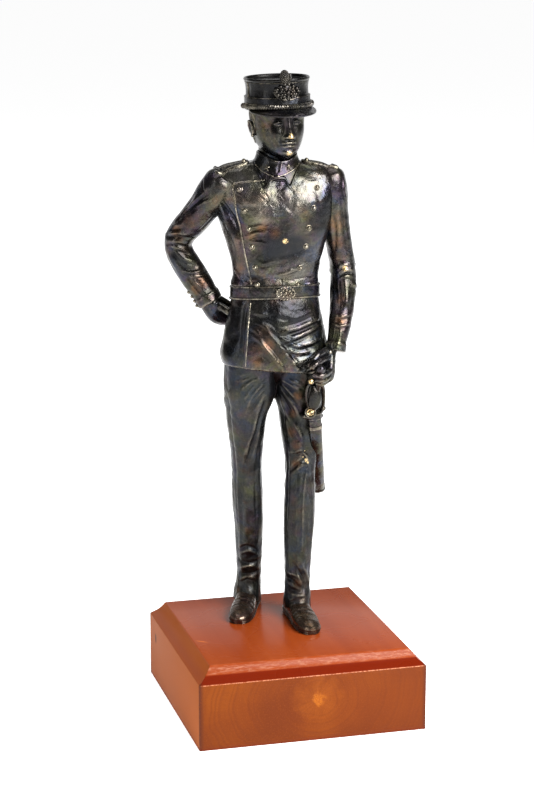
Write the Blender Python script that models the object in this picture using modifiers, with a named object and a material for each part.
"""Cast statuette of a standing officer on a moulded wooden plinth.

The part's frame stands on the underside of the plinth, at its middle: +Z is up, the figure
faces -Y and its left arm is at +X. Sizes are in metres.

The figure is one casting. Each of its forms is lofted through sections written as shares of
the figure's height, and the forms are then fused into one solid. The plinth is one turned
profile with four sides.
"""

import math

import bmesh
import bpy
from mathutils import Matrix, Vector
from mathutils.bvhtree import BVHTree

# Driving sizes in metres
FIGURE_HEIGHT = 0.240          # sole to the crown of the cap
PLINTH_SIDE = 0.100            # outer faces of the plinth
PLINTH_FACE_HEIGHT = 0.0289    # upright faces, below the moulding
MOULD_HEIGHT = 0.00675         # top of the upright faces to the top of the plinth
MOULD_INSET = 0.0064           # from the upright face in to the edge of the flat top
FIGURE_SETBACK = 0.015         # figure's middle, behind the middle of the plinth
CLEARANCE = 0.0003             # between the soles and the plinth

# The figure's own unit: its height is 240 of them
UNIT = FIGURE_HEIGHT / 240.0
PLINTH_TOP = PLINTH_FACE_HEIGHT + MOULD_HEIGHT
FEET_AT = Vector((0.0, FIGURE_SETBACK, PLINTH_TOP + CLEARANCE))

# Moulding: share of the inset, share of the height
MOULD_PROFILE = (
    (0.09, 0.04), (0.14, 0.39), (0.20, 0.45), (0.30, 0.47), (0.43, 0.49), (0.56, 0.55),
    (0.70, 0.63), (0.82, 0.74), (0.92, 0.86), (1.00, 1.00),
)

# Turns of the body about Z in degrees, positive to the figure's left
CHEST_TURN = -10.0
BELT_TURN = -5.0
HIP_TURN = -3.0
HEAD_TURN = 7.5
HEAD_ROLL = 2.0

# Heights on the figure
HEM_HEIGHT = 113.5
HEM_TILT = 0.06                # the hem rises towards the right hip
LEG_TUCK = 2.5                 # the trousers run this far up inside the skirt
BELT_HEIGHT = 147.3
BELT_WIDTH = 6.0
CAP_BASE = 226.6
CAP_TOP = 240.0

# Trunk sections: height, half width, front, back, middle x, middle y, turn, squareness
TRUNK = (
    (142.0, 18.6, 11.6, 11.0, 0.0, 0.0, BELT_TURN, 2.2),
    (147.0, 18.9, 12.0, 11.4, 0.0, 0.0, BELT_TURN, 2.2),
    (151.5, 18.7, 11.8, 11.2, 0.0, 0.0, BELT_TURN, 2.2),
    (155.0, 18.0, 11.6, 11.0, 0.2, 0.0, -7.0, 2.2),
    (161.0, 19.5, 12.4, 11.4, 0.4, 0.0, -8.0, 2.3),
    (168.0, 21.3, 13.2, 12.0, 0.4, 0.0, -9.0, 2.3),
    (175.5, 23.6, 13.8, 12.6, 0.2, 0.0, CHEST_TURN, 2.4),
    (183.0, 25.4, 13.8, 13.0, 0.0, 0.0, CHEST_TURN, 2.5),
    (190.0, 26.2, 13.0, 12.8, 0.0, 0.2, CHEST_TURN, 2.6),
    (196.0, 26.2, 11.2, 12.0, 0.0, 0.5, CHEST_TURN, 2.6),
    (199.6, 24.8, 9.4, 10.6, 0.0, 0.9, CHEST_TURN, 2.5),
    (202.0, 21.5, 7.8, 9.2, 0.0, 1.2, CHEST_TURN, 2.3),
    (203.6, 15.5, 7.2, 8.2, 0.0, 1.2, -8.0, 2.1),
    (205.2, 9.0, 7.0, 7.4, 0.2, 0.8, -4.0, 2.0),
)

# Skirt of the tunic, in the same columns
SKIRT = (
    (HEM_HEIGHT, 23.0, 15.2, 15.0, 0.0, 0.6, HIP_TURN, 2.2),
    (HEM_HEIGHT + 1.2, 23.9, 15.9, 15.6, 0.0, 0.6, HIP_TURN, 2.2),
    (119.5, 24.2, 16.0, 15.8, 0.0, 0.6, HIP_TURN, 2.2),
    (126.0, 22.8, 15.6, 15.6, 0.0, 0.5, HIP_TURN, 2.2),
    (132.0, 21.8, 14.8, 15.0, 0.0, 0.4, HIP_TURN, 2.2),
    (138.0, 20.4, 13.8, 13.6, 0.0, 0.2, -4.0, 2.2),
    (143.0, 19.4, 12.8, 12.2, 0.0, 0.0, BELT_TURN, 2.2),
    (148.0, 18.9, 12.2, 11.6, 0.0, 0.0, BELT_TURN, 2.2),
)

# Limb sections: middle x, middle y, height, half width, half depth
RIGHT_LEG = (
    (-10.6, 1.0, HEM_HEIGHT + LEG_TUCK, 11.4, 11.6), (-10.9, 1.6, 106.0, 11.6, 11.4),
    (-11.4, 2.3, 100.0, 10.8, 11.0), (-12.0, 3.2, 94.0, 9.3, 10.3),
    (-12.0, 4.0, 88.0, 8.5, 9.6),
    (-11.5, 5.2, 80.0, 7.5, 8.7), (-11.1, 6.3, 72.0, 6.7, 7.9),
    (-10.8, 7.2, 66.0, 6.4, 7.5), (-10.5, 8.4, 58.0, 6.6, 7.8),
    (-10.0, 9.6, 49.0, 6.7, 8.0), (-9.3, 10.7, 41.0, 6.4, 7.6),
    (-8.8, 12.0, 31.0, 6.0, 7.0), (-8.4, 13.4, 20.0, 5.6, 6.6),
    (-8.4, 14.4, 12.0, 5.5, 6.9), (-9.0, 14.6, 7.2, 6.1, 7.6),
    (-9.2, 14.6, 5.2, 5.9, 7.4),
)
LEFT_LEG = (
    (10.6, 0.6, HEM_HEIGHT + LEG_TUCK, 11.4, 11.6), (10.9, 0.5, 106.0, 11.6, 11.4),
    (11.2, 0.3, 100.0, 10.8, 11.0), (11.4, 0.0, 94.0, 9.6, 10.2),
    (11.1, -0.8, 88.0, 8.7, 9.5),
    (11.2, -1.3, 80.0, 7.8, 8.7), (11.5, -1.6, 72.0, 7.0, 8.0),
    (11.3, -1.8, 66.0, 6.6, 7.6), (11.0, -2.2, 58.0, 6.6, 7.8),
    (10.8, -2.5, 51.0, 6.7, 8.0), (10.5, -2.8, 43.0, 6.7, 7.8),
    (10.0, -3.2, 34.0, 6.3, 7.2), (9.7, -3.7, 25.0, 5.8, 6.8),
    (9.3, -4.3, 15.0, 5.5, 6.8), (9.0, -5.2, 9.0, 5.8, 7.4),
    (8.9, -5.6, 6.2, 5.9, 7.6),
)
RIGHT_SLEEVE = (
    (-21.6, 2.2, 197.6, 5.2, 6.4), (-23.6, 2.8, 195.0, 6.6, 8.0),
    (-27.0, 5.0, 189.0, 6.9, 7.8), (-30.4, 8.2, 182.8, 6.6, 7.2),
    (-34.4, 12.2, 176.6, 6.4, 6.8), (-37.6, 15.6, 171.8, 6.1, 6.4),
    (-39.0, 17.4, 167.2, 6.0, 6.4), (-37.9, 17.8, 162.4, 6.0, 6.4),
    (-35.2, 17.1, 157.2, 6.2, 6.3), (-31.2, 16.0, 150.6, 6.1, 6.2),
    (-27.4, 14.7, 144.2, 5.6, 5.7), (-26.6, 14.3, 142.8, 5.9, 6.0),
    (-24.4, 13.4, 138.8, 5.9, 5.9),
)
LEFT_SLEEVE = (
    (21.0, -2.0, 198.0, 5.0, 6.0), (23.4, -3.4, 195.8, 6.6, 8.0),
    (24.6, -3.6, 189.0, 6.6, 7.8), (25.6, -3.2, 181.0, 6.2, 7.2),
    (27.4, -2.4, 172.0, 5.7, 6.8), (29.3, -1.4, 163.0, 5.5, 6.6),
    (30.4, -1.4, 155.5, 5.5, 6.8), (30.0, -3.6, 147.0, 5.6, 6.6),
    (28.4, -6.4, 138.0, 5.2, 6.0), (26.4, -9.2, 129.6, 4.6, 5.4),
    (25.2, -10.4, 125.6, 4.1, 4.9),
    (24.8, -10.8, 124.4, 4.5, 5.2), (24.2, -11.4, 121.4, 4.5, 5.2),
)

# Feet: place of the ankle, turn of the toes to the figure's left in degrees
RIGHT_FOOT = ((-8.6, 15.2), -23.0)
LEFT_FOOT = ((9.0, -5.0), -5.0)
# Boot sections: distance ahead of the ankle, half width, height
BOOT = (
    (-9.0, 3.0, 6.0), (-8.2, 4.4, 9.0), (-4.0, 5.0, 11.5), (2.0, 5.0, 11.0),
    (8.0, 5.2, 8.6), (14.0, 5.9, 6.8), (19.0, 6.1, 5.9), (23.5, 5.2, 5.0),
    (26.2, 3.3, 3.8), (27.0, 1.5, 2.8),
)
SOLE_THICKNESS = 1.8
SOLE_WELT = 0.5

# Head sections: height, half width, front, back
HEAD = (
    (206.6, 3.6, 9.4, 3.0), (207.6, 5.2, 11.8, 5.0), (210.0, 7.6, 12.4, 8.0),
    (213.0, 9.4, 12.2, 10.6), (216.5, 10.7, 12.1, 12.6), (220.0, 11.2, 11.6, 13.4),
    (223.0, 11.4, 12.4, 13.8), (CAP_BASE + 1.9, 11.2, 12.2, 13.6),
)
HEAD_MIDDLE = (1.4, -1.4)
NOSE = (
    (221.6, -11.6, 0.8, 0.7), (218.0, -12.6, 1.2, 1.5), (215.9, -13.4, 1.8, 2.3),
    (214.9, -12.8, 1.5, 1.7),
)

# Cap sections: height, half width, half depth
CAP = (
    (CAP_BASE, 13.4, 14.8), (CAP_BASE + 0.6, 13.9, 15.3), (CAP_BASE + 5.0, 13.8, 15.2),
    (CAP_BASE + 5.5, 13.2, 14.5), (CAP_BASE + 8.6, 13.0, 14.3), (CAP_TOP - 1.4, 13.5, 14.9),
    (CAP_TOP - 0.4, 13.5, 14.9), (CAP_TOP, 12.8, 14.1),
    (CAP_TOP - 0.8, 11.6, 12.8), (CAP_TOP - 1.2, 6.0, 6.6),
)
VISOR_REACH = 7.4
VISOR_DROP = 1.8
VISOR_SPREAD = 76.0
VISOR_THICKNESS = 0.8

# Sabre: pommel, mouth of the scabbard, its tip, and its half width and half thickness
POMMEL_AT = Vector((14.7, -22.0, 115.8))
MOUTH_AT = Vector((15.8, -8.6, 93.4))
CHAPE_AT = Vector((24.6, 14.2, 53.4))
SCABBARD_BOW = 12.0
SCABBARD_HALF = (3.5, 2.5)

BRONZE = ("oxidised_cast_metal", (0.075, 0.068, 0.060, 1.0), 0.33, 0.9)
WOOD = ("varnished_hardwood", (0.33, 0.075, 0.022, 1.0), 0.28, 0.0)


def to_part(point: Vector) -> Vector:
    """Place a point given in the figure's units in the part's frame."""
    return FEET_AT + Vector(point) * UNIT


def turned(vector: Vector, degrees: float) -> Vector:
    """Turn a vector about Z, positive to the figure's left."""
    return Matrix.Rotation(math.radians(degrees), 3, "Z") @ Vector(vector)


def superellipse(angle: float, squareness: float) -> tuple[float, float]:
    """Return the point of a unit superellipse at an angle."""
    cosine, sine = math.cos(angle), math.sin(angle)
    power = 2.0 / squareness
    return (
        math.copysign(abs(cosine) ** power, cosine),
        math.copysign(abs(sine) ** power, sine),
    )


def smooth_rows(rows: tuple, between: int) -> list[tuple]:
    """Add rows between the given ones on a Catmull-Rom curve through every column."""
    if between < 1:
        return [tuple(row) for row in rows]
    result = []
    for index in range(len(rows) - 1):
        before = rows[max(index - 1, 0)]
        start, end = rows[index], rows[index + 1]
        after = rows[min(index + 2, len(rows) - 1)]
        for step in range(between + 1):
            t = step / (between + 1)
            result.append(tuple(
                0.5 * (
                    2.0 * b + (c - a) * t + (2.0 * a - 5.0 * b + 4.0 * c - d) * t * t
                    + (3.0 * b - a - 3.0 * c + d) * t ** 3
                )
                for a, b, c, d in zip(before, start, end, after)
            ))
    result.append(tuple(rows[-1]))
    return result


def skin(name: str, rings: list[list[Vector]], collection: bpy.types.Collection):
    """Join rings of equal count into a closed body with a fan at each end."""
    mesh = bpy.data.meshes.new(name)
    body = bmesh.new()
    loops = [[body.verts.new(to_part(point)) for point in ring] for ring in rings]
    count = len(rings[0])
    for lower, upper in zip(loops, loops[1:]):
        for k in range(count):
            nearer, further = k, (k + 1) % count
            body.faces.new((lower[nearer], lower[further], upper[further], upper[nearer]))
    for loop, backwards in ((loops[0], True), (loops[-1], False)):
        middle = sum((vert.co for vert in loop), Vector()) / count
        hub = body.verts.new(middle)
        for k in range(count):
            pair = (loop[k], loop[(k + 1) % count])
            body.faces.new((hub, *reversed(pair)) if backwards else (hub, *pair))
    bmesh.ops.recalc_face_normals(body, faces=body.faces)
    body.to_mesh(mesh)
    body.free()
    made = bpy.data.objects.new(name, mesh)
    collection.objects.link(made)
    return made


def upright_rings(
    rows: tuple, sides: int, between: int, fold=None, tilt=None
) -> list[list[Vector]]:
    """Rings for the trunk: each row is height, half width, front, back, x, y, turn, squareness."""
    rings = []
    for height, half, front, back, x, y, turn, square in smooth_rows(rows, between):
        ring = []
        for k in range(sides):
            angle = math.tau * k / sides
            across, deep = superellipse(angle, square)
            lift = fold(angle, height) if fold else 0.0
            reach = back if deep > 0.0 else front
            offset = Vector((across * (half + lift), deep * (reach + lift), 0.0))
            point = Vector((x, y, height)) + turned(offset, turn)
            point.z += tilt(point) if tilt else 0.0
            ring.append(point)
        rings.append(ring)
    return rings


def limb_rings(
    rows: tuple, sides: int, between: int, across=Vector((1.0, 0.0, 0.0)), square=2.0, fold=None
) -> list[list[Vector]]:
    """Rings square to a limb's path: each row is x, y, height, half width, half depth."""
    path = smooth_rows(rows, between)
    # A wider reach spreads a sharp bend over several rings, so that none of them cross
    reach = between + 1
    rings = []
    for index, (x, y, height, half, deep_half) in enumerate(path):
        ahead = Vector(path[min(index + reach, len(path) - 1)][:3])
        behind = Vector(path[max(index - reach, 0)][:3])
        along = (ahead - behind).normalized()
        side = (across - along * across.dot(along)).normalized()
        depth = along.cross(side)
        ring = []
        for k in range(sides):
            angle = math.tau * k / sides
            u, v = superellipse(angle, square)
            lift = fold(angle, index / (len(path) - 1)) if fold else 0.0
            offset = side * u * (half + lift) + depth * v * (deep_half + lift)
            ring.append(Vector((x, y, height)) + offset)
        rings.append(ring)
    return rings


def ridge(value: float, middle: float, width: float) -> float:
    """A smooth bump of height one around a middle."""
    return math.exp(-((value - middle) / width) ** 2)


def leg_fold(knee: float, phase: float):
    """Folds of a trouser leg: creases behind the knee and rolls stacked on the boot."""
    def fold(angle: float, share: float) -> float:
        rolls = math.sin(2.0 * math.pi * 5.0 * share + 1.3 * math.sin(angle + phase))
        at_ankle = 0.55 * rolls * ridge(share, 0.90, 0.14)
        at_knee = 0.35 * math.sin(2.0 * math.pi * 9.0 * share + 2.0 * math.sin(angle))
        return at_ankle + at_knee * ridge(share, knee, 0.09)
    return fold


def sleeve_fold(elbow: float, phase: float):
    """Folds of a sleeve gathered at the inside of the elbow."""
    def fold(angle: float, share: float) -> float:
        rolls = math.sin(2.0 * math.pi * 8.0 * share + 1.6 * math.sin(angle + phase))
        return 0.5 * rolls * ridge(share, elbow, 0.16)
    return fold


def skirt_fold(angle: float, height: float) -> float:
    """Folds of the skirt, drawn towards the hand that holds the sabre."""
    drawn = math.sin(0.80 * height + 4.0 * math.cos(angle) - 0.6)
    side = ridge(math.cos(angle), 0.62, 0.45) * (1.0 if math.sin(angle) < 0.0 else 0.35)
    pleats = 0.30 * math.sin(9.0 * angle) * ridge(height, HEM_HEIGHT, 8.0)
    below_belt = ridge(height, 127.0, 9.5)
    return 0.8 * drawn * side * below_belt + pleats


def hem_tilt(point: Vector) -> float:
    """Lift of the hem: it hangs lower at the left front, where the hand draws it down."""
    return -HEM_TILT * point.x * ridge(point.z, HEM_HEIGHT, 9.0) - 0.03 * point.y


def ball(name: str, place: Vector, size: Vector, collection, segments=8, levels=5):
    """A button, stud or knob."""
    bpy.ops.mesh.primitive_uv_sphere_add(
        segments=segments, ring_count=levels, radius=1.0, location=to_part(place)
    )
    made = bpy.context.object
    made.name = name
    made.scale = Vector(size) * UNIT
    bpy.ops.object.transform_apply(location=False, rotation=False, scale=True)
    for owner in list(made.users_collection):
        owner.objects.unlink(made)
    collection.objects.link(made)
    return made


def cord(name: str, points: list[Vector], radius: float, collection, resolution=1):
    """A piping, cord or bar along points, as a closed mesh."""
    curve = bpy.data.curves.new(name, "CURVE")
    curve.dimensions = "3D"
    curve.bevel_depth = radius * UNIT
    curve.bevel_resolution = resolution
    curve.use_fill_caps = True
    spline = curve.splines.new("POLY")
    spline.points.add(len(points) - 1)
    for slot, point in zip(spline.points, points):
        slot.co = (*to_part(point), 1.0)
    traced = bpy.data.objects.new(name, curve)
    collection.objects.link(traced)
    depsgraph = bpy.context.evaluated_depsgraph_get()
    mesh = bpy.data.meshes.new_from_object(traced.evaluated_get(depsgraph))
    body = bmesh.new()
    body.from_mesh(mesh)
    bmesh.ops.remove_doubles(body, verts=body.verts, dist=0.00001)
    bmesh.ops.recalc_face_normals(body, faces=body.faces)
    body.to_mesh(mesh)
    body.free()
    made = bpy.data.objects.new(name, mesh)
    bpy.data.objects.remove(traced)
    collection.objects.link(made)
    return made


def surface_of(made) -> BVHTree:
    """Search tree of a form's faces, in the part's frame."""
    vertices = [vertex.co.copy() for vertex in made.data.vertices]
    return BVHTree.FromPolygons(vertices, [list(face.vertices) for face in made.data.polygons])


def on_front(tree: BVHTree, x: float, height: float, lift: float = 0.0) -> Vector:
    """Point of a form's front at a place given in the figure's units."""
    start = to_part(Vector((x, -80.0, height)))
    hit, normal, _, _ = tree.ray_cast(start, Vector((0.0, 1.0, 0.0)))
    return (hit + normal * lift * UNIT - FEET_AT) / UNIT


def make_trunk(forms) -> None:
    """Tunic, skirt, belt and the trim that lies on the chest."""
    trunk = skin("trunk", upright_rings(TRUNK, 24, 0), forms)
    skin("skirt", upright_rings(SKIRT, 28, 1, skirt_fold, hem_tilt), forms)
    belt = []
    for lift, out in ((-0.5, 0.9), (-0.42, 1.4), (0.42, 1.3), (0.5, 0.9)):
        ring = []
        for k in range(24):
            across, deep = superellipse(math.tau * (k + 0.5) / 24, 2.2)
            point = turned(Vector((across * (19.0 + out), deep * (12.1 + out), 0.0)), BELT_TURN)
            point.z = BELT_HEIGHT + lift * BELT_WIDTH - 0.1 * point.y
            ring.append(point)
        belt.append(ring)
    belt_body = skin("belt", belt, forms)

    chest = surface_of(trunk)
    for index in range(6):
        share = index / 5.0
        height = 193.6 - 41.6 * share
        for start, end in ((-18.8, -11.2), (15.0, 6.8)):
            place = on_front(chest, start + (end - start) * share, height)
            ball("tunic_button", place, (1.15, 1.1, 1.15), forms, 6, 3)
    edge = [on_front(chest, -4.0 - 4.2 * k, 197.2 - 0.2 * k) for k in range(5)]
    edge += [on_front(chest, -21.6 + 8.0 * k / 5.0, 195.4 - 43.0 * k / 5.0) for k in range(6)]
    cord("front_piping", edge, 0.5, forms, 0)

    buckle_tree = surface_of(belt_body)
    buckle = on_front(buckle_tree, 1.4, BELT_HEIGHT + 1.2)
    ball("buckle", buckle, (4.6, 1.0, 3.1), forms, 10, 5)
    for k in range(4):
        angle = math.tau * (k + 0.5) / 4
        knob = buckle + Vector((3.1 * math.cos(angle), -0.5, 2.2 * math.sin(angle)))
        ball("buckle_knob", knob, (1.3, 0.8, 1.0), forms, 6, 3)


def make_shoulders(forms) -> None:
    """Boards that lie along the shoulders, each with a button at the neck."""
    for side, start, end in (
        ("right", Vector((-12.2, 1.4, 203.7)), Vector((-27.2, 4.2, 201.2))),
        ("left", Vector((11.6, -1.2, 203.4)), Vector((27.4, -4.4, 201.0))),
    ):
        rows = []
        for share, half in ((0.0, 2.6), (0.12, 3.6), (0.9, 4.3), (1.0, 4.0)):
            middle = start.lerp(end, share)
            rows.append((*middle, half, 1.0))
        across = Vector((0.0, 0.0, 1.0)).cross(end - start).normalized()
        skin(side + "_board", limb_rings(tuple(rows), 8, 0, across, 4.0), forms)
        knob = start.lerp(end, 0.14) + Vector((0.0, 0.0, 1.0))
        ball(side + "_board_button", knob, (1.1, 1.1, 0.9), forms, 6, 3)


def make_legs(forms) -> None:
    """Trousers and boots."""
    for side, rows, knee in (("right", RIGHT_LEG, 0.46), ("left", LEFT_LEG, 0.45)):
        rings = limb_rings(rows, 10, 1, Vector((1.0, 0.0, 0.0)), 2.1, leg_fold(knee, 0.0))
        skin(side + "_trouser", rings, forms)
    for side, (ankle, turn) in (("right", RIGHT_FOOT), ("left", LEFT_FOOT)):
        upper, welt, sole = [], [], []
        for ahead, half, height in BOOT:
            ring = []
            for k in range(12):
                across, up = superellipse(math.tau * k / 12, 2.4)
                rise = max(up * height * 0.62 + height * 0.38, SOLE_THICKNESS * 0.5)
                ring.append(Vector((across * half, -ahead, rise)))
            upper.append(ring)
            welt.append((half + SOLE_WELT, ahead))
        outline = [(half, ahead) for half, ahead in welt]
        outline += [(-half, ahead) for half, ahead in reversed(welt)]
        for height in (0.0, SOLE_THICKNESS):
            sole.append([Vector((x, -ahead * 1.02, height)) for x, ahead in outline])
        for name, rings in (("boot", upper), ("sole", sole)):
            placed = [
                [turned(point, turn) + Vector((*ankle, 0.0)) for point in ring]
                for ring in rings
            ]
            skin(side + "_" + name, placed, forms)


def make_sleeves(forms) -> None:
    """Sleeves, each with a turned cuff edge."""
    for side, rows, elbow in (("right", RIGHT_SLEEVE, 0.52), ("left", LEFT_SLEEVE, 0.54)):
        fold = sleeve_fold(elbow, 0.0)
        skin(side + "_sleeve", limb_rings(rows, 10, 1, Vector((1.0, 0.0, 0.0)), 2.1, fold), forms)


def finger(name: str, points: list[Vector], radius: float, forms) -> None:
    """A gloved finger through its joints, rounded at the tip."""
    rows = [(*point, radius, radius) for point in points]
    tip = points[-1] + (points[-1] - points[-2]).normalized() * radius * 0.6
    rows.append((*tip, radius * 0.55, radius * 0.55))
    first = points[0]
    rows[0] = (*first, radius * 1.05, radius * 1.05)
    along = (points[-1] - points[0]).normalized()
    across = Vector((0.0, 0.0, 1.0)) if abs(along.z) < 0.8 else Vector((0.0, 1.0, 0.0))
    skin(name, limb_rings(tuple(rows), 6, 0, across), forms)


def make_hands(forms) -> None:
    """The gloved left fist on the grip, and the right hand behind the hip."""
    palm = (
        (23.6, -11.8, 122.6, 3.0, 3.8), (21.8, -13.0, 118.6, 2.9, 4.2),
        (20.5, -13.8, 114.0, 3.1, 5.0), (19.8, -13.6, 110.4, 3.1, 4.8),
        (19.4, -13.0, 108.0, 1.8, 2.8),
    )
    skin("left_palm", limb_rings(palm, 9, 0), forms)
    axis = (MOUTH_AT - POMMEL_AT).normalized()
    out = (Vector((1.0, 0.0, 0.0)) - axis * axis.x).normalized()
    front = out.cross(axis)
    for index in range(3):
        centre = POMMEL_AT + axis * (2.0 + 2.9 * index) + out * (2.2 - 0.3 * index)
        joints = []
        for degrees in (0.0, 45.0, 90.0, 135.0, 180.0):
            turn = math.radians(degrees)
            joints.append(centre + (out * math.cos(turn) + front * math.sin(turn)) * 3.7)
        finger("left_finger", joints, 1.6, forms)
    pointing = [
        Vector((19.6, -15.4, 121.6)), Vector((15.8, -17.6, 119.6)), Vector((12.2, -18.0, 115.6)),
    ]
    finger("left_forefinger", pointing, 1.6, forms)
    thumb = [Vector((21.0, -16.6, 119.0)), Vector((17.6, -19.4, 118.4)), Vector((14.2, -20.2, 115.6))]
    finger("left_thumb", thumb, 1.5, forms)

    palm = (
        (-24.6, 13.4, 139.4, 4.4, 4.0), (-23.0, 13.6, 135.6, 4.8, 3.4),
        (-20.4, 14.6, 131.6, 4.6, 2.8), (-17.6, 15.4, 128.6, 3.2, 2.2),
    )
    skin("right_palm", limb_rings(palm, 9, 0), forms)
    for index in range(4):
        root = Vector((-21.6 + 1.0 * index, 15.2, 134.6 - 2.8 * index))
        joints = [root, root + Vector((5.0, 2.0, 0.4)), root + Vector((10.0, 2.2, 0.6))]
        finger("right_finger", joints, 1.6, forms)
    thumb = [Vector((-23.4, 11.4, 136.0)), Vector((-21.2, 7.4, 133.0)), Vector((-19.4, 4.6, 131.4))]
    finger("right_thumb", thumb, 1.7, forms)


def make_head(forms) -> None:
    """Head, neck, collar, cap, visor, strap and badge."""
    pivot = Vector((*HEAD_MIDDLE, 206.0))
    pose = Matrix.Rotation(math.radians(HEAD_TURN), 3, "Z") @ Matrix.Rotation(
        math.radians(-HEAD_ROLL), 3, "Y"
    )

    def placed(point: Vector) -> Vector:
        """A point of the upright head, turned to where the officer looks."""
        return pivot + pose @ (Vector(point) - Vector((0.0, 0.0, pivot.z)))

    def level(rows, sides: int, square: float) -> list[list[Vector]]:
        """Rings of the head from rows of height, half width, front and back."""
        rings = []
        for height, half, front, back in rows:
            ring = []
            for k in range(sides):
                across, deep = superellipse(math.tau * k / sides, square)
                reach = back if deep > 0.0 else front
                ring.append(placed(Vector((across * half, deep * reach, height))))
            rings.append(ring)
        return rings

    skin("head", level(smooth_rows(HEAD, 1), 14, 2.2), forms)
    nose = []
    for height, middle, half, deep_half in NOSE:
        nose.append([
            placed(Vector((half * math.cos(a), middle + deep_half * math.sin(a), height)))
            for a in (math.tau * k / 8 for k in range(8))
        ])
    skin("nose", nose, forms)
    for side in (-1.0, 1.0):
        ball("ear", placed(Vector((10.7 * side, 1.6, 218.0))), (1.2, 2.0, 3.1), forms, 6, 4)
    neck = ((0.0, 1.4, 198.0, 7.6, 8.2), (0.2, 0.8, 206.0, 7.2, 8.0), (0.6, 0.0, 214.0, 7.4, 8.4))
    skin("neck", limb_rings(neck, 12, 0), forms)
    collar = (
        (-0.3, -1.0, 201.2, 10.0, 10.6), (-0.3, -1.2, 201.8, 10.7, 11.4),
        (-0.2, -1.7, 203.0, 10.4, 11.0), (0.1, -2.9, 206.0, 9.2, 10.0),
        (0.3, -3.6, 207.8, 8.9, 9.6),
    )
    skin("collar", limb_rings(collar, 18, 0), forms)

    cap = [(height, half, deep, deep) for height, half, deep in CAP]
    skin("cap", level(cap, 18, 2.05), forms)
    inner, outer = [], []
    for k in range(11):
        swing = math.radians(VISOR_SPREAD * (k / 5.0 - 1.0))
        side, ahead = math.sin(swing), -math.cos(swing)
        reach = VISOR_REACH * max(math.cos(swing * 90.0 / VISOR_SPREAD), 0.0) ** 0.7
        root = Vector((12.6 * side, 14.0 * ahead, CAP_BASE + 1.4))
        tip = Vector((
            (13.6 + 0.35 * reach) * side, (15.0 + reach) * ahead,
            CAP_BASE + 0.4 - VISOR_DROP * reach / VISOR_REACH,
        ))
        inner.append(root)
        outer.append(tip)
    drop = Vector((0.0, 0.0, -VISOR_THICKNESS))
    visor = []
    for root, tip in zip(inner, outer):
        quad = (root, tip, tip + drop, root + drop)
        visor.append([placed(point) for point in quad])
    skin("visor", visor, forms)
    strap = []
    for k in range(13):
        swing = math.radians(96.0 * (k / 6.0 - 1.0))
        strap.append(placed(Vector((
            14.3 * math.sin(swing), -15.7 * math.cos(swing), CAP_BASE + 1.9,
        ))))
    cord("strap", strap, 0.85, forms, 0)
    for end in (strap[0], strap[-1]):
        ball("strap_stud", end, (1.2, 1.2, 1.2), forms, 6, 3)
    badge = Vector((0.4, -14.6, (CAP_BASE + CAP_TOP) / 2.0 + 1.9))
    ball("badge", placed(badge), (4.0, 1.5, 4.0), forms, 12, 5)
    for k in range(5):
        angle = math.tau * k / 5
        knob = placed(badge + Vector((2.8 * math.cos(angle), -1.0, 2.8 * math.sin(angle))))
        ball("badge_knob", knob, (1.2, 0.9, 1.2), forms, 6, 3)
    ball("pompon", placed(Vector((0.2, -14.6, CAP_TOP + 1.0))), (1.9, 1.9, 3.0), forms, 8, 4)


def along_sabre(distance: float) -> Vector:
    """Point of the sabre's middle line at a distance below the mouth, above it if negative."""
    grip = (MOUTH_AT - POMMEL_AT).normalized()
    if distance <= 0.0:
        return MOUTH_AT + grip * distance
    share = distance / (CHAPE_AT - MOUTH_AT).length
    bow = MOUTH_AT + grip * SCABBARD_BOW
    return MOUTH_AT.lerp(bow, share).lerp(bow.lerp(CHAPE_AT, share), share)


def make_sabre(forms) -> None:
    """The sheathed sabre, held at the grip and slanting back beside the left leg."""
    hilt = (MOUTH_AT - POMMEL_AT).length
    sheath = (CHAPE_AT - MOUTH_AT).length
    edge, flat = SCABBARD_HALF

    def row(distance: float, half: float, deep: float) -> tuple:
        """A section of the sabre at a distance below the mouth."""
        return (*along_sabre(distance), half, deep)

    grip = (
        row(-hilt - 1.7, 0.9, 1.0), row(-hilt - 0.6, 1.9, 2.1), row(-hilt + 1.4, 1.8, 2.1),
        row(-hilt + 2.8, 1.4, 1.7), row(-1.0, 1.5, 1.9),
    )
    skin("grip", limb_rings(grip, 8, 0), forms)
    scabbard = (
        row(-2.0, 3.0, 3.8), row(0.6, 3.2, 4.4), row(1.2, flat, edge),
        row(sheath * 0.42, flat, edge),
        row(sheath - 9.0, flat, edge * 0.95), row(sheath - 8.4, flat * 1.1, edge * 1.06),
        row(sheath - 0.6, flat * 1.1, edge * 1.03), row(sheath, flat * 0.95, edge * 0.9),
    )
    skin("scabbard", limb_rings(scabbard, 10, 0, Vector((1.0, 0.0, 0.0)), 2.6), forms)
    inboard = Vector((-1.0, -0.1, 0.0))
    for name, reach, ahead in (("knuckle_bow", 4.2, 0.0), ("guard_branch", 3.0, -3.4)):
        bow = []
        for share in (0.0, 0.2, 0.42, 0.64, 0.84, 1.0):
            bulge = math.sin(math.pi * (0.12 + 0.76 * share)) * reach
            out = inboard * bulge + Vector((0.0, ahead * math.sin(math.pi * share), 0.0))
            bow.append(along_sabre(-hilt * (0.62 - 0.62 * share)) + out)
        cord(name, bow, 0.8, forms, 0)
    outer = [along_sabre(-hilt * share) - inboard * 2.9 for share in (0.62, 0.4, 0.2, 0.02)]
    cord("outer_branch", outer, 0.9, forms, 0)
    bar = along_sabre(-1.4)
    cross = [bar - inboard * 3.6, bar, bar + inboard * 4.0]
    cord("crossguard", cross, 1.2, forms, 1)
    ball("shell", bar + inboard * 1.6 + Vector((0.0, -2.6, 0.6)), (3.0, 2.0, 2.2), forms, 8, 5)


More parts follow.
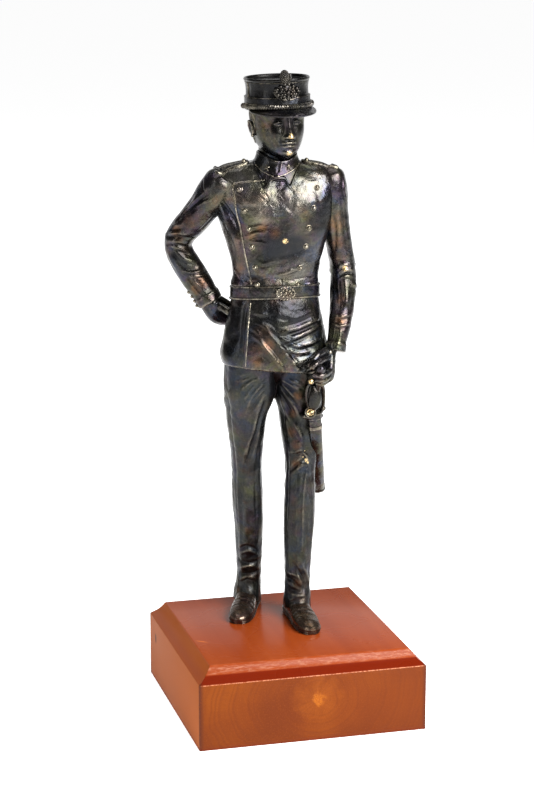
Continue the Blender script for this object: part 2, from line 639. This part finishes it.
def finish(name: str, color: tuple, roughness: float, metallic: float):
    """A Principled material in one color."""
    made = bpy.data.materials.new(name)
    made.use_nodes = True
    shader = made.node_tree.nodes["Principled BSDF"]
    shader.inputs["Base Color"].default_value = color
    shader.inputs["Roughness"].default_value = roughness
    shader.inputs["Metallic"].default_value = metallic
    return made


def make_figure(part_collection, forms) -> None:
    """Fuse every form of the figure into one casting."""
    make_trunk(forms)
    make_shoulders(forms)
    make_legs(forms)
    make_sleeves(forms)
    make_hands(forms)
    make_head(forms)
    make_sabre(forms)
    figure = forms.objects["trunk"]
    forms.objects.unlink(figure)
    part_collection.objects.link(figure)
    figure.name = "officer_figure"
    for form in forms.objects:
        form.hide_render = True
        form.display_type = "WIRE"
    fuse = figure.modifiers.new("fuse", "BOOLEAN")
    fuse.operation = "UNION"
    fuse.solver = "EXACT"
    fuse.operand_type = "COLLECTION"
    fuse.collection = forms
    level = figure.modifiers.new("merge_level_faces", "DECIMATE")
    level.decimate_type = "DISSOLVE"
    level.angle_limit = math.radians(1.5)
    figure.data.materials.append(finish(*BRONZE))


def make_plinth(part_collection) -> None:
    """The plinth: its corner profile turned in four steps."""
    half = PLINTH_SIDE / 2.0
    profile = [(0.0, PLINTH_TOP)]
    for inset, rise in reversed(MOULD_PROFILE):
        profile.append((
            half - inset * MOULD_INSET, PLINTH_FACE_HEIGHT + rise * MOULD_HEIGHT,
        ))
    profile += [(half, PLINTH_FACE_HEIGHT), (half, 0.0), (0.0, 0.0)]
    mesh = bpy.data.meshes.new("plinth")
    points = [(out, out, height) for out, height in profile]
    mesh.from_pydata(points, [(k, k + 1) for k in range(len(points) - 1)], [])
    plinth = bpy.data.objects.new("plinth", mesh)
    part_collection.objects.link(plinth)
    turn = plinth.modifiers.new("four_sides", "SCREW")
    turn.steps = 4
    turn.render_steps = 4
    turn.use_merge_vertices = True
    turn.merge_threshold = 0.00001
    plinth.data.materials.append(finish(*WOOD))


def main() -> None:
    """Clear the scene and model the part."""
    for old in list(bpy.data.objects):
        bpy.data.objects.remove(old)
    part_collection = bpy.data.collections.new("officer_statuette")
    forms = bpy.data.collections.new("figure_forms")
    bpy.context.scene.collection.children.link(part_collection)
    bpy.context.scene.collection.children.link(forms)
    make_plinth(part_collection)
    make_figure(part_collection, forms)


main()
